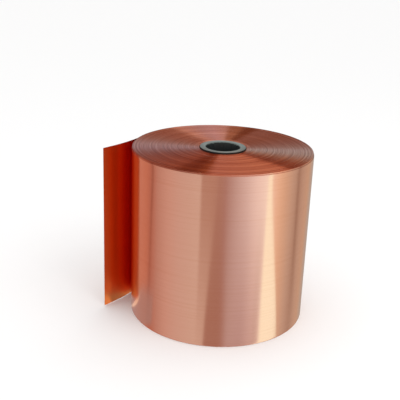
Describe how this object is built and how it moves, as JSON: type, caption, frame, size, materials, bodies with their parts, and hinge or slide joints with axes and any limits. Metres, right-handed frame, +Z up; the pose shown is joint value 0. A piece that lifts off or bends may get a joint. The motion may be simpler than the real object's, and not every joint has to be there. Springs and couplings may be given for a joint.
{
  "type": "copper foil roll",
  "caption": "Wide bare copper foil wound on a dark tube core and standing on end, with a short free tail that bends in and out and unwinds round the roll.",
  "frame": {"origin": "on the roll's axis, at the end of the core that the roll stands on", "axes": "+Z up along the core's axis; -Y towards the side seen with the free tail on the left, at -X"},
  "size_m": [0.458, 0.3997, 0.385],
  "materials": {
    "copper_foil": "bare rolled copper, bright, with fine lines along its length",
    "wound_copper_edges": "slit edges of many laps of bare copper, fine concentric rings",
    "dark_core": "black moulded plastic, sawn at the ends",
    "adhesive_tape": "thin double-sided adhesive tape"
  },
  "bodies": {
    "roll": {"core_tube": "dark_core", "start_tape": "adhesive_tape", "first_laps": "copper_foil", "wound_pack_inner": "wound_copper_edges", "wound_pack_middle": "wound_copper_edges", "wound_pack_outer": "wound_copper_edges"},
    "outer_lap": {"outer_lap": "copper_foil"},
    "tail_1": {"tail_strip_1": "copper_foil"},
    "tail_2": {"tail_strip_2": "copper_foil"},
    "tail_3": {"tail_strip_3": "copper_foil"},
    "tail_4": {"tail_strip_4": "copper_foil"},
    "tail_5": {"tail_strip_5": "copper_foil"},
    "tail_6": {"tail_strip_6": "copper_foil"},
    "tail_7": {"tail_strip_7": "copper_foil"},
    "tail_8": {"tail_strip_8": "copper_foil"}
  },
  "joints": [
    {"name": "unwind", "type": "hinge", "parent": "roll", "child": "outer_lap", "pos_m": [0, 0, 0], "axis": [0, 0, 1], "continuous": true},
    {"name": "tail_bend_1", "type": "hinge", "parent": "outer_lap", "child": "tail_1", "pos_m": [-0.18477, 0.07616, 0.191], "axis": [0, 0, 1], "range_deg": [-4, 2.8], "stiffness_Nm_per_rad": 5.8},
    {"name": "tail_bend_2", "type": "hinge", "parent": "tail_1", "child": "tail_2", "pos_m": [-0.1917, 0.06029, 0.191], "axis": [0, 0, 1], "range_deg": [-10, 7], "stiffness_Nm_per_rad": 5.8},
    {"name": "tail_bend_3", "type": "hinge", "parent": "tail_2", "child": "tail_3", "pos_m": [-0.19929, 0.04474, 0.191], "axis": [0, 0, 1], "range_deg": [-10, 7], "stiffness_Nm_per_rad": 5.8},
    {"name": "tail_bend_4", "type": "hinge", "parent": "tail_3", "child": "tail_4", "pos_m": [-0.20753, 0.02951, 0.191], "axis": [0, 0, 1], "range_deg": [-10, 7], "stiffness_Nm_per_rad": 5.8},
    {"name": "tail_bend_5", "type": "hinge", "parent": "tail_4", "child": "tail_5", "pos_m": [-0.2164, 0.01465, 0.191], "axis": [0, 0, 1], "range_deg": [-10, 7], "stiffness_Nm_per_rad": 5.8},
    {"name": "tail_bend_6", "type": "hinge", "parent": "tail_5", "child": "tail_6", "pos_m": [-0.22589, 0.00017, 0.191], "axis": [0, 0, 1], "range_deg": [-10, 7], "stiffness_Nm_per_rad": 5.8},
    {"name": "tail_bend_7", "type": "hinge", "parent": "tail_6", "child": "tail_7", "pos_m": [-0.23598, -0.0139, 0.191], "axis": [0, 0, 1], "range_deg": [-10, 7], "stiffness_Nm_per_rad": 5.8},
    {"name": "tail_bend_8", "type": "hinge", "parent": "tail_7", "child": "tail_8", "pos_m": [-0.24665, -0.02754, 0.191], "axis": [0, 0, 1], "range_deg": [-10, 7], "stiffness_Nm_per_rad": 5.8}
  ],
  "couplings": [
    {"joint": "tail_bend_1", "follows": "tail_bend_2", "ratio": 0.4},
    {"joint": "tail_bend_3", "follows": "tail_bend_2", "ratio": 1},
    {"joint": "tail_bend_4", "follows": "tail_bend_2", "ratio": 1},
    {"joint": "tail_bend_5", "follows": "tail_bend_2", "ratio": 1},
    {"joint": "tail_bend_6", "follows": "tail_bend_2", "ratio": 1},
    {"joint": "tail_bend_7", "follows": "tail_bend_2", "ratio": 1},
    {"joint": "tail_bend_8", "follows": "tail_bend_2", "ratio": 1}
  ]
}
